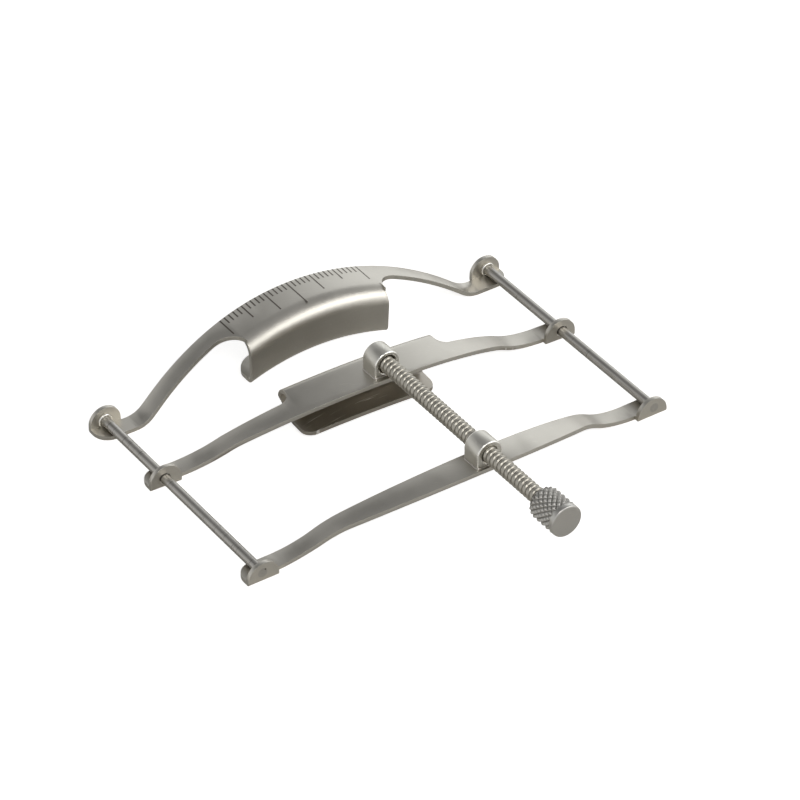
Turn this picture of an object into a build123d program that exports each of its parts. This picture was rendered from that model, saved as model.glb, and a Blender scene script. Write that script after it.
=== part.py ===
"""Adjustable eye speculum: a rigid wire-and-sheet frame, a sliding lid blade and a thumb screw.

Millimetres, +X to the right along the bars, +Y from the knob to the fixed blade, +Z up.
The flanges of the bars stand on z = 0, and the origin lies under the middle of the whole part.
"""
from math import asin, cos, degrees, radians, sin, sqrt
import os

from build123d import *

os.makedirs("parts", exist_ok=True)

# Sheet, rods and frame
sheet = 0.8                  # thickness of all three bars
rod_spacing = 83.0           # between the axes of the two guide rods
rod_diameter = 1.85
rod_lift = 1.1               # rod axis above the top face of a flange
frame_depth = 52.0           # front face of the near ears to front face of the far ears
collar_diameter = 2.8        # brazed collar where a rod enters a far ear
collar_length = 0.5
eyelet_clearance = 0.2       # sliding ears run loose on the rods, radially

# Folded ends of the bars: a flange lies flat, an ear stands up
end_radius = 3.1             # rounded outline of flange and ear
end_inset = 0.25             # middle of flange and ear inside the rod axis
fold_radius = 0.45           # outside of the fold
near_ear_height = 3.85       # above the table
slide_ear_height = 4.35
near_flange_reach = 4.8      # from the ear's outer face
far_ear_height = 4.4
far_flange_reach = 3.8

# Vault of the bars, seen from the front: crown arc and toe arc
near_vault_rise = 11.4
near_vault_inset = 3.5       # foot of the vault to the rod axis
near_vault_toe = 16.0
far_vault_rise = 12.5
far_vault_inset = 4.3
far_vault_toe = 5.6

# Cross bar seen from above, measured from the front face of the near ears
bar_root_front = 1.1
bar_root_back = 4.75
cross_front_bow = 9.7
cross_front_inset = 5.5      # foot of the bow to the rod axis
cross_front_toe = 23.0
cross_back_bow = 7.85
cross_back_inset = 3.0
cross_back_toe = 36.0

# Sliding blade bar seen from above
slider_travel_y = 29.8       # front face of its ears behind that of the near ears, as shown
slider_skew = 2.4            # degrees that it sits askew in its loose eyelets
slide_front_bow = 8.65
slide_inset = 4.2
slide_toe = 25.0
slide_back_bow = 7.3
slide_width = 9.5            # front edge to the outside of the blade wall
slide_notch_radius = 1.8

# Fixed blade bar seen from above, measured from the front face of the far ears
fixed_root_front = -3.8
fixed_root_back = -0.2
fixed_back_bow = 3.9
fixed_back_inset = 4.2
fixed_back_toe = 25.0
fixed_front_bow = 4.0
fixed_front_inset = 4.9
fixed_front_toe = 22.0
fixed_width = 9.4            # back edge to the outside of the blade wall
fixed_notch_radius = 4.2

# Channel section of both blades
lip_radius = 1.6             # outside of the lower bend
fixed_length = 29.7
fixed_shift = 0.4            # middle of the blade to the right of the screw axis
fixed_taper = 0.2            # each end is this much shorter at the lip
fixed_height = 9.5           # top of the strip to the bottom of the lip
fixed_crest_radius = 3.3     # outside of the upper bend
fixed_lip = 6.2
fixed_lip_corner = 3.4
slide_length = 30.6
slide_shift = -0.8
slide_taper = 1.8
slide_height = 8.8
slide_crest_radius = 2.4
slide_lip = 6.4
slide_lip_corner = 2.9

# Bosses and screw
boss_radius = 2.6
axis_lift = 2.15             # screw axis above the crown of the near and sliding bars
nut_boss_front = -7.85       # from the front face of the near ears
nut_boss_length = 4.1
swivel_boss_front = -6.3     # from the front face of the sliding ears
swivel_boss_length = 4.05
screw_diameter = 3.15
thread_clearance = 0.06
socket_clearance = 0.28      # screw end in the mouth of the swivel boss
socket_depth = 2.2
journal_diameter = 2.0
running_clearance = 0.05
end_play = 0.1
journal_stub = 0.25          # end of the journal behind its ring
ring_diameter = 3.2
ring_thickness = 0.6
spigot_diameter = 2.2
spigot_length = 5.0

# Knob
knob_diameter = 6.3
knob_length = 7.5
knob_reach = 30.3            # front face of the near ears to the end of the knob
knob_shoulder = 1.5          # rounded inner end
knob_chamfer = 0.3

# Derived places
rod_x = rod_spacing / 2
near_vault_run = rod_x - near_vault_inset
far_vault_run = rod_x - far_vault_inset
cross_front_run = rod_x - cross_front_inset
cross_back_run = rod_x - cross_back_inset
slide_run = rod_x - slide_inset
fixed_back_run = rod_x - fixed_back_inset
fixed_front_run = rod_x - fixed_front_inset
rod_z = sheet + rod_lift
back_reach = frame_depth + fixed_root_back + fixed_back_bow
near_y = (knob_reach - back_reach) / 2
far_y = near_y + frame_depth
slider_y = near_y + slider_travel_y
near_crown_z = sheet + near_vault_rise
far_crown_z = sheet + far_vault_rise
axis_z = near_crown_z + axis_lift
slider_rod_x = rod_x / cos(radians(slider_skew))


def arch_radius(drop, run, toe_radius):
    """Radius of the crown arc that meets a toe arc after falling `drop` over `run`."""
    return (run**2 + drop**2) / (2 * drop) - toe_radius


def arc_drop(x, radius):
    """How far an arc of this radius falls from its crown at the distance x."""
    return radius - sqrt(radius**2 - x**2)


def half_arch(crown, drop, run, toe_radius, crown_radius, up=1):
    """Add the crown arc and toe arc of one half edge to the current BuildLine."""
    lean = degrees(asin(run / (crown_radius + toe_radius)))
    CenterArc((0, crown - up * crown_radius), crown_radius, up * 90, -up * lean)
    toe_centre = (run, crown - up * (drop - toe_radius))
    CenterArc(toe_centre, toe_radius, -up * (90 + lean), up * lean)


def vault_face(crown_z, rise, run, toe_radius, tip_x):
    """Front view of a vaulted strip of sheet, from tip to tip."""
    radius = arch_radius(rise, run, toe_radius)
    with BuildSketch(Plane.XZ.offset(-frame_depth)) as face:
        with BuildLine():
            half_arch(crown_z, rise, run, toe_radius, radius)
            Polyline((run, sheet), (tip_x, sheet), (tip_x, 0), (run, 0))
            half_arch(crown_z - sheet, rise, run, toe_radius + sheet, radius - sheet)
            Line((0, crown_z - sheet), (0, crown_z))
        make_face()
        mirror(about=Plane.YZ)
    return face.sketch


def folded_end(side, hole_x, outer_y, facing, ear_height, reach, hole_diameter):
    """One flange with its ear and rod hole; facing is the direction of the flange along Y."""
    x = side * (hole_x - end_inset)
    flange_middle = outer_y + facing * (reach - end_radius) / 2
    ear_front = min(outer_y, outer_y + facing * sheet)
    with BuildPart() as end:
        with BuildSketch():
            with Locations((x, outer_y + facing * (reach - end_radius))):
                Circle(end_radius)
            with Locations((x, flange_middle)):
                Rectangle(2 * end_radius, reach - end_radius)
            with Locations((x, outer_y - facing * end_radius)):
                Rectangle(4 * end_radius, 2 * end_radius, mode=Mode.SUBTRACT)
        extrude(amount=sheet)
        with BuildSketch(Plane(origin=(x, ear_front, 0), x_dir=(1, 0, 0), z_dir=(0, -1, 0))):
            with Locations((0, ear_height - end_radius)):
                Circle(end_radius)
            with Locations((0, (ear_height - end_radius) / 2)):
                Rectangle(2 * end_radius, ear_height - end_radius)
            with Locations((0, -end_radius)):
                Rectangle(4 * end_radius, 2 * end_radius, mode=Mode.SUBTRACT)
        extrude(amount=-sheet)
        fold = end.edges().filter_by(Axis.X).group_by(Axis.Z)[0].sort_by(Axis.Y)
        fillet(fold[0] if facing > 0 else fold[-1], radius=fold_radius)
        with BuildSketch(Plane(origin=(x, ear_front, rod_z), x_dir=(1, 0, 0), z_dir=(0, -1, 0))):
            with Locations((side * end_inset, 0)):
                Circle(hole_diameter / 2)
        extrude(amount=-sheet, mode=Mode.SUBTRACT)
    return end.part


def channel_section(x, y, z, width, mouth, height, crest_radius, lip_depth):
    """Cut through a blade: flat top from its edge, wall, and lip turned back by the mouth's sign."""
    foot = -height
    wall = -mouth * width
    inner = wall + mouth * sheet
    crest_y = wall + mouth * crest_radius
    lip_y = wall + mouth * lip_radius
    tip = wall + mouth * lip_depth
    with BuildSketch(Plane(origin=(x, y, z), x_dir=(0, 1, 0), z_dir=(1, 0, 0))) as section:
        with BuildLine():
            Line((0, 0), (crest_y, 0))
            RadiusArc((crest_y, 0), (wall, -crest_radius), -mouth * crest_radius)
            Line((wall, -crest_radius), (wall, foot + lip_radius))
            RadiusArc((wall, foot + lip_radius), (lip_y, foot), -mouth * lip_radius)
            Polyline((lip_y, foot), (tip, foot), (tip, foot + sheet), (lip_y, foot + sheet))
            RadiusArc((lip_y, foot + sheet), (inner, foot + lip_radius), mouth * (lip_radius - sheet))
            Line((inner, foot + lip_radius), (inner, -crest_radius))
            RadiusArc((inner, -crest_radius), (crest_y, -sheet), mouth * (crest_radius - sheet))
            Polyline((crest_y, -sheet), (0, -sheet), (0, 0))
        make_face()
    return section.sketch


def end_outline(shift, half, taper, top_z, bend_z, knee_z):
    """Front view that a blade is trimmed to: its ends lean in from the upper bend to the lip."""
    flare = taper * (top_z - bend_z) / (bend_z - knee_z)
    corners = [(half + flare, top_z), (half - taper, knee_z), (half - taper, knee_z - 2 * lip_radius)]
    right = [(shift + x, z) for x, z in corners]
    left = [(shift - x, z) for x, z in reversed(corners)]
    with BuildSketch(Plane.XZ.offset(-frame_depth)) as outline:
        with BuildLine():
            Polyline(*right, *left, right[0])
        make_face()
    return outline.sketch


def blade(edge_y, crown_z, bow_radius, vault_radius, mouth, shift, length, taper, width, height,
          crest_radius, lip_depth, corner_radius):
    """A channel-shaped blade, lofted so that it follows the vault and the bow of its bar."""
    half = length / 2
    sections = []
    for step in range(-2, 3):
        x = shift + half * step / 2
        y = edge_y - mouth * arc_drop(x, bow_radius)
        z = crown_z - arc_drop(x, vault_radius)
        sections.append(channel_section(x, y, z, width, mouth, height, crest_radius, lip_depth))
    end_z = crown_z - arc_drop(half + abs(shift), vault_radius)
    knee_z = end_z - height + lip_radius
    outline = end_outline(shift, half, taper, crown_z + sheet, end_z - crest_radius, knee_z)
    with BuildPart() as channel:
        loft(sections)
        extrude(outline, amount=2 * frame_depth, mode=Mode.INTERSECT)
        with BuildSketch(Plane.XY.offset(knee_z - 2 * lip_radius)):
            for side in (-1, 1):
                corner_x = shift + side * (half - taper - corner_radius)
                tip_y = edge_y - mouth * (arc_drop(corner_x, bow_radius) + width - lip_depth)
                with BuildSketch(mode=Mode.PRIVATE) as corner:
                    with Locations((corner_x + side * corner_radius, tip_y)):
                        Rectangle(2 * corner_radius, 2 * corner_radius)
                    with Locations((corner_x, tip_y - mouth * corner_radius)):
                        Circle(corner_radius, mode=Mode.SUBTRACT)
                add(corner.sketch)
        extrude(amount=height / 2, mode=Mode.SUBTRACT)
    return channel.part


def boss(front_y, length):
    """Solid boss with a round top and straight sides, reaching down into the crown it stands on."""
    with BuildPart() as form:
        with BuildSketch(Plane.XZ.offset(-front_y)):
            with Locations((0, axis_z)):
                Circle(boss_radius)
            with Locations((0, axis_z - boss_radius)):
                Rectangle(2 * boss_radius, 2 * boss_radius)
        extrude(amount=-length)
    return form.part


def round_bar(start_y, end_y, diameter):
    """Cylinder on the screw axis between two places along Y."""
    with BuildPart() as form:
        with BuildSketch(Plane.XZ.offset(-start_y)):
            with Locations((0, axis_z)):
                Circle(diameter / 2)
        extrude(amount=start_y - end_y)
    return form.part


# Guide rods, brazed flush into the near ears and through the far ears
for side, word in ((-1, "left"), (1, "right")):
    with BuildPart() as guide_rod:
        with BuildSketch(Plane(origin=(side * rod_x, near_y, rod_z), x_dir=(1, 0, 0), z_dir=(0, 1, 0))):
            Circle(rod_diameter / 2)
        extrude(amount=frame_depth + sheet)
    guide_rod.part.label = f"guide_rod_{word}"
    export_step(guide_rod.part, f"parts/guide_rod_{word}.step")

    with BuildPart() as rod_collar:
        with BuildSketch(Plane(origin=(side * rod_x, far_y, rod_z), x_dir=(1, 0, 0), z_dir=(0, -1, 0))):
            Circle(collar_diameter / 2)
            Circle(rod_diameter / 2, mode=Mode.SUBTRACT)
            with Locations((0, -rod_lift - collar_diameter / 2)):
                Rectangle(collar_diameter, collar_diameter, mode=Mode.SUBTRACT)
        extrude(amount=collar_length)
    rod_collar.part.label = f"rod_collar_{word}"
    export_step(rod_collar.part, f"parts/rod_collar_{word}.step")

# Near cross bar, which carries the nut boss
front_radius = arch_radius(cross_front_bow, cross_front_run, cross_front_toe)
back_radius = arch_radius(cross_back_bow, cross_back_run, cross_back_toe)
front_y = near_y + bar_root_front - cross_front_bow
back_y = near_y + bar_root_back - cross_back_bow
with BuildPart() as cross_bar:
    cross_vault = vault_face(near_crown_z, near_vault_rise, near_vault_run, near_vault_toe, rod_x)
    extrude(cross_vault, amount=2 * frame_depth)
    with BuildSketch():
        with BuildLine():
            half_arch(front_y, cross_front_bow, cross_front_run, cross_front_toe, front_radius, up=-1)
            Polyline((cross_front_run, near_y + bar_root_front), (rod_x, near_y + bar_root_front),
                     (rod_x, near_y + bar_root_back), (cross_back_run, near_y + bar_root_back))
            half_arch(back_y, cross_back_bow, cross_back_run, cross_back_toe, back_radius, up=-1)
            Line((0, back_y), (0, front_y))
        make_face()
        mirror(about=Plane.YZ)
    extrude(amount=near_crown_z, mode=Mode.INTERSECT)
    for side in (-1, 1):
        add(folded_end(side, rod_x, near_y, 1, near_ear_height, near_flange_reach, rod_diameter))
cross_bar.part.label = "cross_bar"
export_step(cross_bar.part, "parts/cross_bar.step")

# Fixed blade at the far end
fixed_back_radius = arch_radius(fixed_back_bow, fixed_back_run, fixed_back_toe)
fixed_front_radius = arch_radius(fixed_front_bow, fixed_front_run, fixed_front_toe)
far_vault_radius = arch_radius(far_vault_rise, far_vault_run, far_vault_toe)
fixed_back_y = far_y + fixed_root_back + fixed_back_bow
fixed_front_y = far_y + fixed_root_front + fixed_front_bow
fixed_half = fixed_length / 2
with BuildPart() as fixed_blade:
    far_vault = vault_face(far_crown_z, far_vault_rise, far_vault_run, far_vault_toe, rod_x)
    extrude(far_vault, amount=2 * frame_depth)
    with BuildSketch() as plan:
        with BuildLine():
            half_arch(fixed_front_y, fixed_front_bow, fixed_front_run, fixed_front_toe, fixed_front_radius)
            Polyline((fixed_front_run, far_y + fixed_root_front), (rod_x, far_y + fixed_root_front),
                     (rod_x, far_y + fixed_root_back), (fixed_back_run, far_y + fixed_root_back))
            half_arch(fixed_back_y, fixed_back_bow, fixed_back_run, fixed_back_toe, fixed_back_radius)
            Line((0, fixed_back_y), (0, fixed_front_y))
        make_face()
        mirror(about=Plane.YZ)
        with Locations((fixed_shift, (fixed_front_y + fixed_back_y - fixed_width) / 2)):
            Rectangle(fixed_length, fixed_width)
        for side in (-1, 1):
            notch_x = fixed_shift + side * fixed_half
            notch_y = fixed_front_y - arc_drop(notch_x, fixed_front_radius)
            corner = plan.vertices().sort_by_distance((notch_x, notch_y))[0]
            fillet(corner, radius=fixed_notch_radius)
        with Locations((fixed_shift, far_y)):
            Rectangle(fixed_length, 2 * frame_depth, mode=Mode.SUBTRACT)
    extrude(amount=far_crown_z, mode=Mode.INTERSECT)
    add(blade(fixed_back_y, far_crown_z, fixed_back_radius, far_vault_radius, 1, fixed_shift, fixed_length,
              fixed_taper, fixed_width, fixed_height, fixed_crest_radius, fixed_lip, fixed_lip_corner))
    for side in (-1, 1):
        add(folded_end(side, rod_x, far_y + sheet, -1, far_ear_height, far_flange_reach + sheet,
                       rod_diameter))
fixed_blade.part.label = "fixed_blade"
export_step(fixed_blade.part, "parts/fixed_blade.step")

# Sliding blade, first straight across and then turned askew on its rods
slide_front_radius = arch_radius(slide_front_bow, slide_run, slide_toe)
slide_back_radius = arch_radius(slide_back_bow, slide_run, slide_toe)
near_vault_radius = arch_radius(near_vault_rise, near_vault_run, near_vault_toe)
slide_front_y = slider_y + bar_root_front - slide_front_bow
slide_back_y = slider_y + bar_root_back - slide_back_bow
slide_hole = rod_diameter + 2 * eyelet_clearance
slide_half = slide_length / 2
with BuildPart() as straight_slider:
    slide_vault = vault_face(near_crown_z, near_vault_rise, near_vault_run, near_vault_toe, slider_rod_x)
    extrude(slide_vault, amount=2 * frame_depth)
    with BuildSketch() as slide_plan:
        with BuildLine():
            half_arch(slide_front_y, slide_front_bow, slide_run, slide_toe, slide_front_radius, up=-1)
            Polyline((slide_run, slider_y + bar_root_front), (slider_rod_x, slider_y + bar_root_front),
                     (slider_rod_x, slider_y + bar_root_back), (slide_run, slider_y + bar_root_back))
            half_arch(slide_back_y, slide_back_bow, slide_run, slide_toe, slide_back_radius, up=-1)
            Line((0, slide_back_y), (0, slide_front_y))
        make_face()
        mirror(about=Plane.YZ)
        with Locations((slide_shift, (slide_front_y + slide_back_y + slide_width) / 2)):
            Rectangle(slide_length, slide_width)
        for side in (-1, 1):
            notch_x = slide_shift + side * slide_half
            notch_y = slide_back_y + arc_drop(notch_x, slide_back_radius)
            corner = slide_plan.vertices().sort_by_distance((notch_x, notch_y))[0]
            fillet(corner, radius=slide_notch_radius)
        with Locations((slide_shift, slider_y)):
            Rectangle(slide_length, 2 * frame_depth, mode=Mode.SUBTRACT)
    extrude(amount=near_crown_z, mode=Mode.INTERSECT)
    add(blade(slide_front_y, near_crown_z, slide_front_radius, near_vault_radius, -1, slide_shift,
              slide_length, slide_taper, slide_width, slide_height, slide_crest_radius, slide_lip,
              slide_lip_corner))
    for side in (-1, 1):
        add(folded_end(side, slider_rod_x, slider_y, 1, slide_ear_height, near_flange_reach, slide_hole))
with BuildPart() as sliding_blade:
    add(straight_slider.part.rotate(Axis((0, slider_y, 0), (0, 0, 1)), -slider_skew))
sliding_blade.part.label = "sliding_blade"
export_step(sliding_blade.part, "parts/sliding_blade.step")

# Crowns that the two bosses are brazed down onto
with BuildPart() as near_crown:
    with BuildSketch(Plane.XZ.offset(-frame_depth)):
        with Locations((0, near_crown_z - near_vault_radius)):
            Circle(near_vault_radius)
    extrude(amount=2 * frame_depth)

# Nut boss on the cross bar
with BuildPart() as nut_boss:
    add(boss(near_y + nut_boss_front, nut_boss_length))
    add(near_crown.part, mode=Mode.SUBTRACT)
    with BuildSketch(Plane.XZ.offset(-(near_y + nut_boss_front))):
        with Locations((0, axis_z)):
            Circle(screw_diameter / 2 + thread_clearance)
    extrude(amount=-nut_boss_length, mode=Mode.SUBTRACT)
nut_boss.part.label = "nut_boss"
export_step(nut_boss.part, "parts/nut_boss.step")

# Swivel boss on the sliding blade, with a socket for the screw end and a bore for its journal
swivel_front = slider_y + swivel_boss_front
swivel_back = swivel_front + swivel_boss_length
with BuildPart() as swivel_boss:
    add(boss(swivel_front, swivel_boss_length))
    add(near_crown.part.rotate(Axis((0, slider_y, 0), (0, 0, 1)), -slider_skew), mode=Mode.SUBTRACT)
    with BuildSketch(Plane.XZ.offset(-swivel_front)):
        with Locations((0, axis_z)):
            Circle(screw_diameter / 2 + socket_clearance)
    extrude(amount=-socket_depth, mode=Mode.SUBTRACT)
    with BuildSketch(Plane.XZ.offset(-swivel_front)):
        with Locations((0, axis_z)):
            Circle(journal_diameter / 2 + running_clearance)
    extrude(amount=-swivel_boss_length, mode=Mode.SUBTRACT)
swivel_boss.part.label = "swivel_boss"
export_step(swivel_boss.part, "parts/swivel_boss.step")

# Thumb screw at the full width of its thread, a journal at its inner end and a spigot in the knob
knob_end = near_y - knob_reach
knob_inner = knob_end + knob_length
screw_end = swivel_front + socket_depth - end_play
ring_front = swivel_back + end_play
journal_end = ring_front + ring_thickness + journal_stub
with BuildPart() as thumb_screw:
    add(round_bar(knob_inner, screw_end, screw_diameter))
    add(round_bar(screw_end, journal_end, journal_diameter))
    add(round_bar(knob_inner - spigot_length, knob_inner, spigot_diameter))
thumb_screw.part.label = "thumb_screw"
export_step(thumb_screw.part, "parts/thumb_screw.step")

# Ring pressed on the journal, which keeps the screw in the sliding blade
with BuildPart() as retaining_ring:
    add(round_bar(ring_front, ring_front + ring_thickness, ring_diameter))
    add(round_bar(ring_front, ring_front + ring_thickness, journal_diameter), mode=Mode.SUBTRACT)
retaining_ring.part.label = "retaining_ring"
export_step(retaining_ring.part, "parts/retaining_ring.step")

# Knob, pressed on the spigot
with BuildPart() as knurled_knob:
    add(round_bar(knob_end, knob_inner, knob_diameter))
    rims = knurled_knob.edges().filter_by(GeomType.CIRCLE).sort_by(Axis.Y)
    chamfer(rims[0], length=knob_chamfer)
    inner_rim = knurled_knob.edges().filter_by(GeomType.CIRCLE).sort_by(Axis.Y)[-1]
    fillet(inner_rim, radius=knob_shoulder)
    add(round_bar(knob_inner - spigot_length, knob_inner, spigot_diameter), mode=Mode.SUBTRACT)
knurled_knob.part.label = "knurled_knob"
export_step(knurled_knob.part, "parts/knurled_knob.step")
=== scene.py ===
"""Adjustable eye speculum of satin stainless steel, lying on a pale table with its knob to the camera.

Sizes are in millimetres and become metres by MM. Lamps and the table are in metres.
"""
import math

import bpy
import numpy as np
from mathutils import Matrix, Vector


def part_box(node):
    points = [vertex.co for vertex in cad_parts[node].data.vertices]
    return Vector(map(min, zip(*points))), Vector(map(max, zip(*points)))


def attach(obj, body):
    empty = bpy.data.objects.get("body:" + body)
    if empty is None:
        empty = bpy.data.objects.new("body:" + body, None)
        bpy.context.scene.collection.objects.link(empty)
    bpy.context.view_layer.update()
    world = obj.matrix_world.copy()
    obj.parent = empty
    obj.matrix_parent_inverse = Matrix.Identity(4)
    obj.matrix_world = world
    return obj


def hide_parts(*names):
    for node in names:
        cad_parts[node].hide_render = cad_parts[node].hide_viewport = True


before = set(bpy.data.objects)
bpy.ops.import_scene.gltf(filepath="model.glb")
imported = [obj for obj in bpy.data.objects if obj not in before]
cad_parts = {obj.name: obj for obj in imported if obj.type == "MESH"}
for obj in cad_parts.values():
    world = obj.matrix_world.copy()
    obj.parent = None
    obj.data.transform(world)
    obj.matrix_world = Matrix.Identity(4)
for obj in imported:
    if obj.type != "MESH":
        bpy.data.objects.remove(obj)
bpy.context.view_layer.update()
MM = 0.001


# The camera looks down on the part from the front left with a long lens, as a catalogue
# photograph is taken. Its axis passes a little beside the middle of the frame.
def view_axes(azimuth, elevation):
    """Right, up and back directions of a camera at this azimuth and elevation in degrees."""
    a, e = math.radians(azimuth), math.radians(elevation)
    right = np.array([math.cos(a), math.sin(a), 0.0])
    back = np.array([math.sin(a) * math.cos(e), -math.cos(a) * math.cos(e), math.sin(e)])
    return right, np.cross(back, right), back


azimuth = -34.171
elevation = 36.919
distance = 788.0
aside, above = 3.986, 2.100
focal_length, film_width = 198.99, 36.0
right, up, back = view_axes(azimuth, elevation)
middle = np.array([0.0, 14.0, 1.9])
eye = (middle + aside * right + above * up + distance * back) * MM
lens = bpy.data.cameras.new("camera")
lens.sensor_width = film_width
lens.lens = focal_length
lens.clip_start = 0.01
camera = bpy.data.objects.new("camera", lens)
bpy.context.scene.collection.objects.link(camera)
turn = np.eye(4)
turn[:3, 0], turn[:3, 1], turn[:3, 2], turn[:3, 3] = right, up, back, eye
camera.matrix_world = Matrix(turn.tolist())
bpy.context.scene.camera = camera
bpy.context.scene.view_settings.view_transform = "Standard"


# Shaders are written as sums and products of values read from the surface. A Reading wraps one
# output socket, and a Finish is one procedural material with its shader and its nodes.
class Reading:
    """One value in a node tree; arithmetic on it adds maths nodes."""

    def __init__(self, finish, socket):
        self.finish, self.socket = finish, socket

    def maths(self, operation, *others):
        return self.finish.node("ShaderNodeMath", 0, self, *others, operation=operation)

    def __add__(self, other):
        return self.maths("ADD", other)

    def __radd__(self, other):
        return self.maths("ADD", other)

    def __sub__(self, other):
        return self.maths("SUBTRACT", other)

    def __rsub__(self, other):
        return (self * -1.0).maths("ADD", other)

    def __mul__(self, other):
        return self.maths("MULTIPLY", other)

    def __rmul__(self, other):
        return self.maths("MULTIPLY", other)

    def __truediv__(self, other):
        return self.maths("DIVIDE", other)

    def ramp(self, low, high):
        """Rises smoothly from 0 at low to 1 at high."""
        return self.finish.node("ShaderNodeMapRange", 0, self, low, high, 0.0, 1.0,
                                interpolation_type="SMOOTHSTEP")


class Finish:
    """A procedural material on Object coordinates, in metres."""

    def __init__(self, name, roughness, metallic=1.0, specular=0.5):
        self.material = bpy.data.materials.new(name)
        self.material.use_nodes = True
        self.tree = self.material.node_tree
        self.shader = self.tree.nodes["Principled BSDF"]
        self.shader.inputs["Roughness"].default_value = roughness
        self.shader.inputs["Metallic"].default_value = metallic
        self.shader.inputs["Specular IOR Level"].default_value = specular
        self.place = self.node("ShaderNodeTexCoord", 3)

    def node(self, kind, output, *inputs, **settings):
        """Adds a node, sets its inputs in order (None leaves one alone), and returns one output."""
        made = self.tree.nodes.new(kind)
        for key, value in settings.items():
            setattr(made, key, value)
        for socket, value in zip(made.inputs, inputs):
            if isinstance(value, Reading):
                self.tree.links.new(value.socket, socket)
            elif value is not None:
                socket.default_value = value
        return Reading(self, made.outputs[output])

    def stretched(self, scale, turn=(0.0, 0.0, 0.0)):
        """Object coordinates turned and then multiplied by a scale per axis."""
        turned = self.node("ShaderNodeMapping", 0, self.place, None, turn, None)
        return self.node("ShaderNodeMapping", 0, turned, None, None, scale)

    def noise(self, scale, detail=3.0, turn=(0.0, 0.0, 0.0)):
        """Noise from 0 to 1 whose cells measure one over scale metres along each axis."""
        return self.node("ShaderNodeTexNoise", 0, self.stretched(scale, turn), None, 1.0, detail)

    def mix(self, amount, first, second):
        """Colour between two colours."""
        mixer = self.tree.nodes.new("ShaderNodeMix")
        mixer.data_type = "RGBA"
        for socket, value in ((mixer.inputs[0], amount), (mixer.inputs[6], first), (mixer.inputs[7], second)):
            if isinstance(value, Reading):
                self.tree.links.new(value.socket, socket)
            else:
                socket.default_value = value
        return Reading(self, mixer.outputs[2])

    def bump(self, height, distance):
        """Normal bent by a height between 0 and 1, `distance` metres deep."""
        bent = self.node("ShaderNodeBump", 0, 1.0, distance)
        self.tree.links.new(height.socket, bent.socket.node.inputs["Height"])
        return bent

    def feed(self, **values):
        """Joins values to the shader's sockets, named with underscores for spaces."""
        for key, value in values.items():
            socket = self.shader.inputs[key.replace("_", " ")]
            if isinstance(value, Reading):
                self.tree.links.new(value.socket, socket)
            else:
                socket.default_value = value


def steel(name, light, dark, roughness, grain, depth=0.002):
    """Worked stainless steel: fine scratches along a grain, a cloudy tone, and faint handling marks."""
    finish = Finish(name, roughness)
    spread, wear, wear_gain, coarser = 0.10, 0.05, 1.12, 0.35
    scratches = finish.noise(grain, 4.0)
    cloud = finish.noise((260.0, 260.0, 260.0), 4.0)
    marks = finish.noise(tuple(coarser * cells for cells in grain), 6.0, (0.0, 0.0, 0.5))
    handled = marks.ramp(0.60, 0.78)
    tone = cloud * 0.5 + scratches * 0.5
    colour = finish.mix(tone, (*dark, 1.0), (*light, 1.0))
    worn = tuple(min(1.0, wear_gain * share) for share in light)
    colour = finish.mix(handled * 0.5, colour, (*worn, 1.0))
    finish.feed(Base_Color=colour,
                Roughness=scratches * spread + cloud * spread + (roughness - spread) - handled * wear,
                Normal=finish.bump(scratches, depth * MM))
    finish.colour = colour
    return finish


# The table is a plain warm white sheet of card. It is staged, shows white to the camera, keeps
# the soft shadow of the part, and stays bright where it is mirrored at a low angle.
card_glow, low_angle_glow = 0.80, 0.7
card = Finish("white_card", 0.85, 0.0, 0.2)
fibres = card.noise((900.0, 900.0, 900.0))
card.feed(Base_Color=card.mix(fibres, (0.84, 0.82, 0.78, 1.0), (0.87, 0.85, 0.81, 1.0)))
seen = card.node("ShaderNodeLightPath", 0)
glow = card.node("ShaderNodeEmission", 0, (1.0, 1.0, 1.0, 1.0), card_glow)
plain = Reading(card, card.shader.outputs[0])
joined = card.node("ShaderNodeAddShader", 0, plain, glow)
grazing = card.node("ShaderNodeLayerWeight", 1, 0.5).ramp(0.72, 0.97)
mirrored = Reading(card, seen.socket.node.outputs["Is Glossy Ray"]) * grazing * low_angle_glow
shown = card.node("ShaderNodeMixShader", 0, seen.maths("MAXIMUM", mirrored), plain, joined)
card.tree.links.new(shown.socket, card.tree.nodes["Material Output"].inputs["Surface"])

half = 1.5
table = bpy.data.meshes.new("table")
corners = [(-half, -half, 0), (half, -half, 0), (half, half, 0), (-half, half, 0)]
table.from_pydata(corners, [], [(0, 1, 2, 3)])
table.materials.append(card.material)
floor = bpy.data.objects.new("table", table)
bpy.context.scene.collection.objects.link(floor)


# Daylight studio: two soft lamps at the front, a low cool one behind to the right, and a room that
# gets dimmer towards its ceiling and has a dark doorway at the back, so that a vaulted bar is dark
# on its left half and light on its right half.
def lamp(name, place, width, height, power, colour=(1.0, 1.0, 1.0)):
    """Rectangular soft lamp that faces the origin; place, width and height in metres, power in watts."""
    light = bpy.data.lights.new(name, "AREA")
    light.shape = "RECTANGLE"
    light.size, light.size_y, light.energy, light.color = width, height, power, colour
    made = bpy.data.objects.new(name, light)
    away = np.array(place) / np.linalg.norm(place)
    side = np.cross((0.0, 0.0, 1.0), away)
    side = side / np.linalg.norm(side)
    pose = np.eye(4)
    pose[:3, 0], pose[:3, 1], pose[:3, 2], pose[:3, 3] = side, np.cross(away, side), away, place
    made.matrix_world = Matrix(pose.tolist())
    bpy.context.scene.collection.objects.link(made)


lamp("front_right", (0.58, -0.60, 0.52), width=0.80, height=0.50, power=3.4)
lamp("front_left", (-0.24, -0.64, 0.70), width=0.40, height=0.34, power=2.3)
lamp("back_right", (0.75, 0.55, 0.32), width=1.1, height=0.55, power=1.15, colour=(0.94, 0.98, 1.0))

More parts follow.
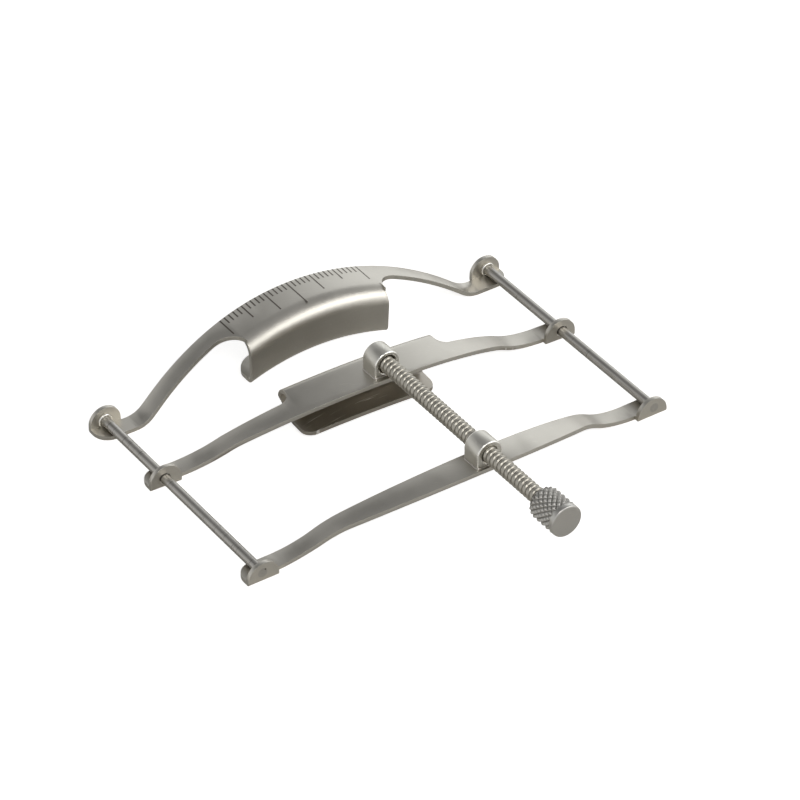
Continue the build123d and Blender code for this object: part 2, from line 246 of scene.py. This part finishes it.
world = bpy.data.worlds.new("room")
bpy.context.scene.world = world
world.use_nodes = True
room = world.node_tree
room.nodes.clear()


def room_node(kind, **settings):
    """Adds one node to the room's tree."""
    made = room.nodes.new(kind)
    for key, value in settings.items():
        setattr(made, key, value)
    return made


white_light = (1.0, 1.0, 1.0, 1.0)
daylight = (0.95, 0.97, 1.0, 1.0)
room_light = 0.15
wall_tint = (0.97, 0.98, 1.0, 1.0)
wall_low, wall_high = 0.84, 0.36
doorway = (-0.16, 0.66, 0.73)
doorway_light = 0.45
paths = room_node("ShaderNodeLightPath")
white = room_node("ShaderNodeBackground")
white.inputs[0].default_value, white.inputs[1].default_value = white_light, 1.0
dim = room_node("ShaderNodeBackground")
dim.inputs[0].default_value, dim.inputs[1].default_value = daylight, room_light
direction = room_node("ShaderNodeTexCoord")
parts = room_node("ShaderNodeSeparateXYZ")
height = room_node("ShaderNodeMapRange", interpolation_type="SMOOTHSTEP")
height.inputs[1].default_value, height.inputs[2].default_value = 0.15, 0.85
height.inputs[3].default_value, height.inputs[4].default_value = wall_low, wall_high
toward = room_node("ShaderNodeVectorMath", operation="DOT_PRODUCT")
toward.inputs[1].default_value = doorway
shade = room_node("ShaderNodeMapRange", interpolation_type="SMOOTHSTEP")
shade.inputs[1].default_value, shade.inputs[2].default_value = 0.92, 0.99
shade.inputs[3].default_value, shade.inputs[4].default_value = 1.0, doorway_light
dimmed = room_node("ShaderNodeMath", operation="MULTIPLY")
walls = room_node("ShaderNodeBackground")
walls.inputs[0].default_value = wall_tint
room.links.new(direction.outputs["Generated"], parts.inputs[0])
room.links.new(parts.outputs["Z"], height.inputs[0])
room.links.new(direction.outputs["Generated"], toward.inputs[0])
room.links.new(toward.outputs["Value"], shade.inputs[0])
room.links.new(height.outputs[0], dimmed.inputs[0])
room.links.new(shade.outputs[0], dimmed.inputs[1])
room.links.new(dimmed.outputs[0], walls.inputs[1])
gloss = room_node("ShaderNodeMixShader")
room.links.new(paths.outputs["Is Glossy Ray"], gloss.inputs[0])
room.links.new(dim.outputs[0], gloss.inputs[1])
room.links.new(walls.outputs[0], gloss.inputs[2])
to_camera = room_node("ShaderNodeMath", operation="MAXIMUM")
room.links.new(paths.outputs["Is Camera Ray"], to_camera.inputs[0])
room.links.new(paths.outputs["Is Transmission Ray"], to_camera.inputs[1])
sky = room_node("ShaderNodeMixShader")
room.links.new(to_camera.outputs[0], sky.inputs[0])
room.links.new(gloss.outputs[0], sky.inputs[1])
room.links.new(white.outputs[0], sky.inputs[2])
room.links.new(sky.outputs[0], room_node("ShaderNodeOutputWorld").inputs[0])


# Three bars of 0.8 mm stainless sheet, pressed to their vault, brushed along their length and
# pickled to a warm satin grey. Inside the channel of the sliding blade the colour is darkened as
# painted shade of the recess, with a few real light scratches along its lip.
sheet_finish = steel("satin_sheet", (0.60, 0.575, 0.52), (0.50, 0.475, 0.42), 0.38, (500.0, 9000.0, 9000.0))
near_run, near_rise, near_toe = 38.0, 11.4, 16.0
near_radius = (near_run**2 + near_rise**2) / (2 * near_rise) - near_toe
bow_centre = (2.186 * MM, 69.254 * MM, 0.0)    # of the sliding blade's bow seen from above
channel_top = 11.0           # height of the channel's ceiling where the bar is highest
wall_middle = 50.65          # from the centre of the bow
channel_mouth = 60.8
blur = 0.2
across = sheet_finish.node("ShaderNodeSeparateXYZ", 0, sheet_finish.place)
below = Reading(sheet_finish, across.socket.node.outputs["Z"]) + across * across * (0.5 / (near_radius * MM))
from_bow = sheet_finish.node("ShaderNodeVectorMath", 1, sheet_finish.stretched((1.0, 1.0, 0.0)), bow_centre,
                             operation="DISTANCE")
under_top = 1.0 - below.ramp((channel_top - blur) * MM, (channel_top + blur) * MM)
before_wall = from_bow.ramp((wall_middle - blur) * MM, (wall_middle + blur) * MM)
behind_mouth = 1.0 - from_bow.ramp((channel_mouth - blur) * MM, (channel_mouth + blur) * MM)
scores = sheet_finish.noise((110.0, 2600.0, 110.0)).ramp(0.64, 0.69)
# Painted shade inside the channel, broken by light scratches
dull = sheet_finish.mix(scores, (0.38, 0.35, 0.30, 1.0), (0.80, 0.78, 0.74, 1.0))
channel = under_top * before_wall * behind_mouth
sheet_finish.feed(Base_Color=sheet_finish.mix(channel, sheet_finish.colour, dull))
# Painted highlight: the rounded edges of every finished solid take this near-white colour.
edge_finish = steel("painted_edge_highlight", (0.97, 0.95, 0.89), (0.93, 0.91, 0.85), 0.28, (2000.0, 2000.0, 2000.0))
weld_gap = 0.002
sharp_angle = 50.0


def finish_solid(name, finish, rounding):
    """Gives a CAD node its finish, and rounds its sharp edges by some millimetres, with a lighter colour
    there as a painted highlight.
    """
    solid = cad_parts[name]
    solid.data.materials.clear()
    solid.data.materials.append(finish.material)
    solid.data.materials.append(edge_finish.material)
    weld = solid.modifiers.new("weld", "WELD")
    weld.merge_threshold = weld_gap * MM
    soften = solid.modifiers.new("soften", "BEVEL")
    soften.width, soften.segments, soften.limit_method = rounding * MM, 3, "ANGLE"
    soften.angle_limit, soften.use_clamp_overlap = math.radians(sharp_angle), True
    soften.material, soften.harden_normals = 1, True


for name in ("fixed_blade", "sliding_blade", "cross_bar"):
    finish_solid(name, sheet_finish, 0.24)

# Round guide rods of drawn wire, brazed at the far ears with a small collar. The sliding ears have
# scored dark rings across them in places, and the left rod's end has a small pit, drawn as a dark spot of
# painted shade.
rod_finish = steel("drawn_rod", (0.54, 0.52, 0.48), (0.36, 0.345, 0.315), 0.36, (2500.0, 6000.0, 2500.0))
rings = rod_finish.noise((200.0, 4200.0, 200.0), 4.0).ramp(0.58, 0.68)
places = rod_finish.noise((150.0, 260.0, 150.0), 2.0).ramp(0.46, 0.60)
# The pit is no hollow in the mesh: a near-black spot is painted shade in its place.
pit_place = (-40.9 * MM, -12.7 * MM, 2.5 * MM)
pit = rod_finish.node("ShaderNodeVectorMath", 1, rod_finish.place, pit_place, operation="DISTANCE")
stain = (rings * places * 0.7).maths("MAXIMUM", 1.0 - pit.ramp(0.12 * MM, 0.26 * MM))
rod_finish.feed(Base_Color=rod_finish.mix(stain, rod_finish.colour, (0.07, 0.06, 0.05, 1.0)))
for name in ("guide_rod_left", "guide_rod_right"):
    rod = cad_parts[name]
    rod.data.materials.clear()
    rod.data.materials.append(rod_finish.material)
braze_grain = (2500.0, 2500.0, 2500.0)
braze_finish = steel("braze", (0.58, 0.55, 0.50), (0.40, 0.37, 0.33), 0.42, braze_grain, depth=0.02)
for name in ("rod_collar_left", "rod_collar_right"):
    finish_solid(name, braze_finish, 0.2)

# Two bosses, turned from bar and filed to a flat foot, with broken edges. The ring behind the
# swivel boss is pressed on the screw's end.
boss_finish = steel("filed_boss", (0.69, 0.67, 0.61), (0.58, 0.56, 0.50), 0.40, (6000.0, 700.0, 6000.0))
for name in ("nut_boss", "swivel_boss"):
    finish_solid(name, boss_finish, 0.22)
finish_solid("retaining_ring", boss_finish, 0.08)


# The screw: a coarse rounded thread of 1.05 mm pitch rolled on a 3.15 mm rod, plain at the
# journal end that turns in the swivel boss.
def skin(name, points, finish, body, loop=False):
    """Mesh over a grid of points (rows, columns, 3), closed round its columns; rows close or end in fans."""
    rows, columns = points.shape[:2]
    index = np.arange(rows * columns).reshape(rows, columns)
    if loop:
        index = np.vstack([index, index[:1]])
    across, here = np.roll(index, -1, axis=1), index
    quads = np.stack([here[:-1], across[:-1], across[1:], here[1:]], axis=-1).reshape(-1, 4)
    vertices = points.reshape(-1, 3)
    faces = quads.tolist()
    if not loop:
        ends = points[[0, -1]].mean(axis=1)
        vertices = np.vstack([vertices, ends])
        first, last = len(vertices) - 2, len(vertices) - 1
        faces += np.stack([np.full(columns, first), across[0], here[0]], axis=-1).tolist()
        faces += np.stack([np.full(columns, last), here[-1], across[-1]], axis=-1).tolist()
    mesh = bpy.data.meshes.new(name)
    mesh.from_pydata((vertices * MM).tolist(), [], faces)
    mesh.polygons.foreach_set("use_smooth", np.ones(len(faces), bool))
    mesh.materials.append(finish.material)
    mesh.update()
    made = bpy.data.objects.new(name, mesh)
    bpy.context.scene.collection.objects.link(made)
    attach(made, body)
    return made


low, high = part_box("thumb_screw")
axis_z = 0.5 * (low.z + high.z) / MM
screw_start, screw_stop = low.y / MM, high.y / MM
pitch, crest_radius, thread_depth = 1.05, 1.57, 0.42
crest_power = 0.7            # below 1 makes the crests rounder and the grooves narrower
run_out = 0.5                # over which the thread fades at the journal
journal_radius, journal_length, journal_chamfer = 1.0, 2.65, 0.15
spigot_radius, spigot_length, spigot_gap = 1.05, 5.0, 0.3    # the spigot is hidden in the knob
thread_end = screw_stop - journal_length
thread_start = screw_start + spigot_length - spigot_gap


def turned(y, radius, around):
    """Points at a radius about the screw axis; angle zero is up and grows towards +X."""
    return np.stack([radius * np.sin(around), y + 0 * radius, axis_z + radius * np.cos(around)], axis=-1)


def from_axis(finish):
    """Distance of a point of the surface from the screw axis."""
    across = finish.node("ShaderNodeSeparateXYZ", 0, finish.place)
    above = Reading(finish, across.socket.node.outputs[2]) - axis_z * MM
    return (across * across + above * above).maths("POWER", 0.5)


def threaded(y, around):
    """Radius of the thread: a half sine per pitch along the helix, raised to a power that rounds it."""
    phase = y / pitch - around / (2 * np.pi)
    lift = np.abs(np.sin(np.pi * phase)) ** crest_power
    fade = np.clip((thread_end - y) / run_out, 0, 1)
    return crest_radius - thread_depth + thread_depth * lift * fade


rows_per_turn = 14
turns = (thread_end - thread_start - spigot_gap) / pitch
rows = np.linspace(thread_start, thread_end, int(turns * rows_per_turn))
angles = np.linspace(0, 2 * np.pi, 56, endpoint=False)
y, around = np.meshgrid(rows, angles, indexing="ij")
shaft = turned(y, threaded(y, around), around)
tail_y = np.array([thread_end, thread_end, screw_stop - journal_chamfer, screw_stop])[:, None]
tail_r = journal_radius - np.array([0.0, 0.0, 0.0, journal_chamfer])[:, None]
tail = turned(tail_y + 0 * angles, tail_r + 0 * angles, angles + 0 * tail_y)
head_y = np.array([screw_start + spigot_gap, thread_start])[:, None]
head = turned(head_y + 0 * angles, spigot_radius + 0 * angles + 0 * head_y, angles + 0 * head_y)
screw_finish = steel("rolled_thread", (0.50, 0.475, 0.415), (0.37, 0.35, 0.30), 0.33, (5000.0, 900.0, 5000.0))
# Painted shade: the grooves of the thread are darkened towards the axis; the crests keep the steel's colour.
groove_dark = (0.09, 0.08, 0.065, 1.0)
raised = from_axis(screw_finish).ramp(1.16 * MM, 1.46 * MM)
screw_finish.feed(Base_Color=screw_finish.mix(raised, groove_dark, screw_finish.colour))
screw = skin("screw_thread", np.concatenate([head, shaft, tail]), screw_finish, "screw")
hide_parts("thumb_screw")


# The knob: a turned barrel with a diamond knurl rolled on it, a rounded shoulder towards the screw
# and a plain faced end, its valleys darkened as painted shade. It is pressed on the screw, and its steel is a
# little brighter.
low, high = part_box("knurled_knob")
knob_front, knob_back = low.y / MM, high.y / MM
knob_radius = 0.5 * (high.x - low.x) / MM
starts, knurl_pitch, knurl_depth = 17, 1.25, 0.34
knurl_sharpness = 1.3        # above 1 flattens the diamonds' tops
shoulder_radius = 1.5
rim, rim_step, rim_fade = 0.95, 0.06, 0.2
face_chamfer = 0.30
hole_radius, hole_depth = 1.6, 0.25


def knurled(y, around):
    """Lift of the knurl: the lesser of two ridge families that wind opposite ways round the barrel."""
    one = np.abs(((around * starts / (2 * np.pi) + y / knurl_pitch) % 1.0) * 2 - 1)
    two = np.abs(((around * starts / (2 * np.pi) - y / knurl_pitch) % 1.0) * 2 - 1)
    return np.clip(knurl_sharpness * (1.0 - np.maximum(one, two)), 0, 1)


barrel = np.linspace(knob_front + face_chamfer, knob_back - shoulder_radius, 120)
angles = np.linspace(0, 2 * np.pi, 240, endpoint=False)
y, around = np.meshgrid(barrel, angles, indexing="ij")
fade = np.clip((y - knob_front - rim) / rim_fade, 0, 1)
radius = knob_radius - knurl_depth * fade * (1 - knurled(y, around)) - rim_step * (1 - fade)
barrel_rows = turned(y, radius, around)
arc = np.linspace(0, 0.5 * np.pi, 22)[1:, None]
shoulder_y = knob_back - shoulder_radius + shoulder_radius * np.sin(arc) + 0 * angles
bend = knob_radius - shoulder_radius + shoulder_radius * np.cos(arc)
cut = knurl_depth * np.cos(arc) * (1 - knurled(shoulder_y, angles + 0 * arc))
shoulder = turned(shoulder_y, bend - cut, angles + 0 * arc)
inner_y = knob_back - np.array([0.0, hole_depth])[:, None] + 0 * angles
inner_r = hole_radius - np.array([0.0, 0.2])[:, None] + 0 * angles
inner = turned(inner_y, inner_r, angles + 0 * inner_y)
face_r = knob_radius - np.array([3.1, 2.1, 1.1, 0.40, 0.18, 0.09])[:, None] + 0 * angles
face_y = knob_front + np.array([0.0, 0.0, 0.0, 0.0, 0.03, 0.12])[:, None] + 0 * angles
face = turned(face_y, face_r, angles + 0 * face_r)
knob_grain = (3000.0, 3000.0, 3000.0)
knob_finish = steel("bright_knurl", (0.58, 0.565, 0.53), (0.48, 0.465, 0.43), 0.34, knob_grain, depth=0.0008)
# Painted shade: the knurl's valleys behind the plain rim are darkened; its crests keep the steel's colour.
on_crest = from_axis(knob_finish).ramp((knob_radius - 0.40) * MM, (knob_radius - 0.12) * MM)
along = knob_finish.node("ShaderNodeSeparateXYZ", 1, knob_finish.place)
behind_rim = along.ramp((knob_front + rim) * MM, (knob_front + rim + rim_fade) * MM)
valley = behind_rim * (1.0 - on_crest)
knob_finish.feed(Base_Color=knob_finish.mix(valley, knob_finish.colour, (0.20, 0.19, 0.17, 1.0)))
knob = skin("knob_knurl", np.concatenate([face, barrel_rows, shoulder, inner]), knob_finish, "screw")
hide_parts("knurled_knob")


# The scale: thirty-one fine lines cut across the back edge of the fixed blade, about one
# millimetre apart along the vault, longer at every fifth line and longest in the middle.
low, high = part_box("fixed_blade")
crown, edge = high.z / MM, high.y / MM
far_run, far_rise, far_toe = 37.2, 12.5, 5.6
vault_radius = (far_run**2 + far_rise**2) / (2 * far_rise) - far_toe
back_run, back_bow, back_toe = 37.3, 3.9, 25.0
edge_radius = (back_run**2 + back_bow**2) / (2 * back_bow) - back_toe
count, line_width, spacing, offset = 31, 0.28, 0.99, -0.55
short_line, end_line = 1.95, 4.8
from_edge, proud = 0.03, 0.006
lengths = np.full(count, short_line)
lengths[[5, 10, 15, 20, 25]] = 4.2, 6.0, 7.3, 5.2, 3.5
lengths[[0, 30]] = end_line
arc_place = (np.arange(count) - 15) * spacing + offset
steps = 8
side = np.array([-0.5, 0.5]) * line_width
along = np.linspace(0.0, 1.0, steps)
s = arc_place[:, None, None] + side[None, :, None] + 0 * along
x = vault_radius * np.sin(s / vault_radius)
z = crown - vault_radius + vault_radius * np.cos(s / vault_radius) + proud
y = edge - (edge_radius - np.sqrt(edge_radius**2 - x**2)) - from_edge - along * lengths[:, None, None]
lines = np.stack([x, y, z], axis=-1)
index = np.arange(count * 2 * steps).reshape(count, 2, steps)
left, other = index[:, 0], index[:, 1]
quads = np.stack([left[:, :-1], left[:, 1:], other[:, 1:], other[:, :-1]], axis=-1).reshape(-1, 4)
mesh = bpy.data.meshes.new("engraved_scale")
mesh.from_pydata((lines.reshape(-1, 3) * MM).tolist(), [], quads.tolist())
cut_finish = steel("cut_line", (0.20, 0.18, 0.155), (0.12, 0.105, 0.09), 0.5, (9000.0, 900.0, 9000.0))
mesh.materials.append(cut_finish.material)
scale = bpy.data.objects.new("engraved_scale", mesh)
bpy.context.scene.collection.objects.link(scale)
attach(scale, "frame")


# Braze: a thin uneven bead of filler runs round the foot of each boss, where it was brazed on its
# crown. It is duller than the steel on either side.
squareness = 12
bead_radius = 0.20


def bead(name, boss_node, body):
    """Tube of a slightly wavy radius along a rounded rectangle (a superellipse) laid on the crown arc."""
    low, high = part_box(boss_node)
    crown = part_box("cross_bar")[1].z / MM
    half_x, half_y = 0.5 * (high.x - low.x) / MM, 0.5 * (high.y - low.y) / MM
    t = np.linspace(0, 2 * np.pi, 180, endpoint=False)
    reach = (np.abs(np.cos(t)) ** squareness + np.abs(np.sin(t)) ** squareness) ** (-1 / squareness)
    x, y = half_x * reach * np.cos(t), half_y * reach * np.sin(t)
    z = crown - near_radius + np.sqrt(near_radius**2 - x**2)
    out = np.stack([np.abs(np.cos(t)) ** (squareness - 1) * np.sign(np.cos(t)) / half_x,
                    np.abs(np.sin(t)) ** (squareness - 1) * np.sign(np.sin(t)) / half_y, 0 * t], axis=-1)
    out /= np.linalg.norm(out, axis=-1, keepdims=True)
    path = np.stack([x, y + 0.5 * (low.y + high.y) / MM, z], axis=-1)
    radius = bead_radius + 0.03 * np.sin(5 * t + 1) + 0.02 * np.sin(13 * t)
    v = np.linspace(0, -2 * np.pi, 12, endpoint=False)
    ring = np.cos(v)[None, :, None] * out[:, None] + np.sin(v)[None, :, None] * np.array([0.0, 0.0, 1.0])
    made = skin(name, path[:, None] + radius[:, None, None] * ring, braze_finish, body, loop=True)


bead("nut_braze", "nut_boss", "frame")
bead("swivel_braze", "swivel_boss", "slider")
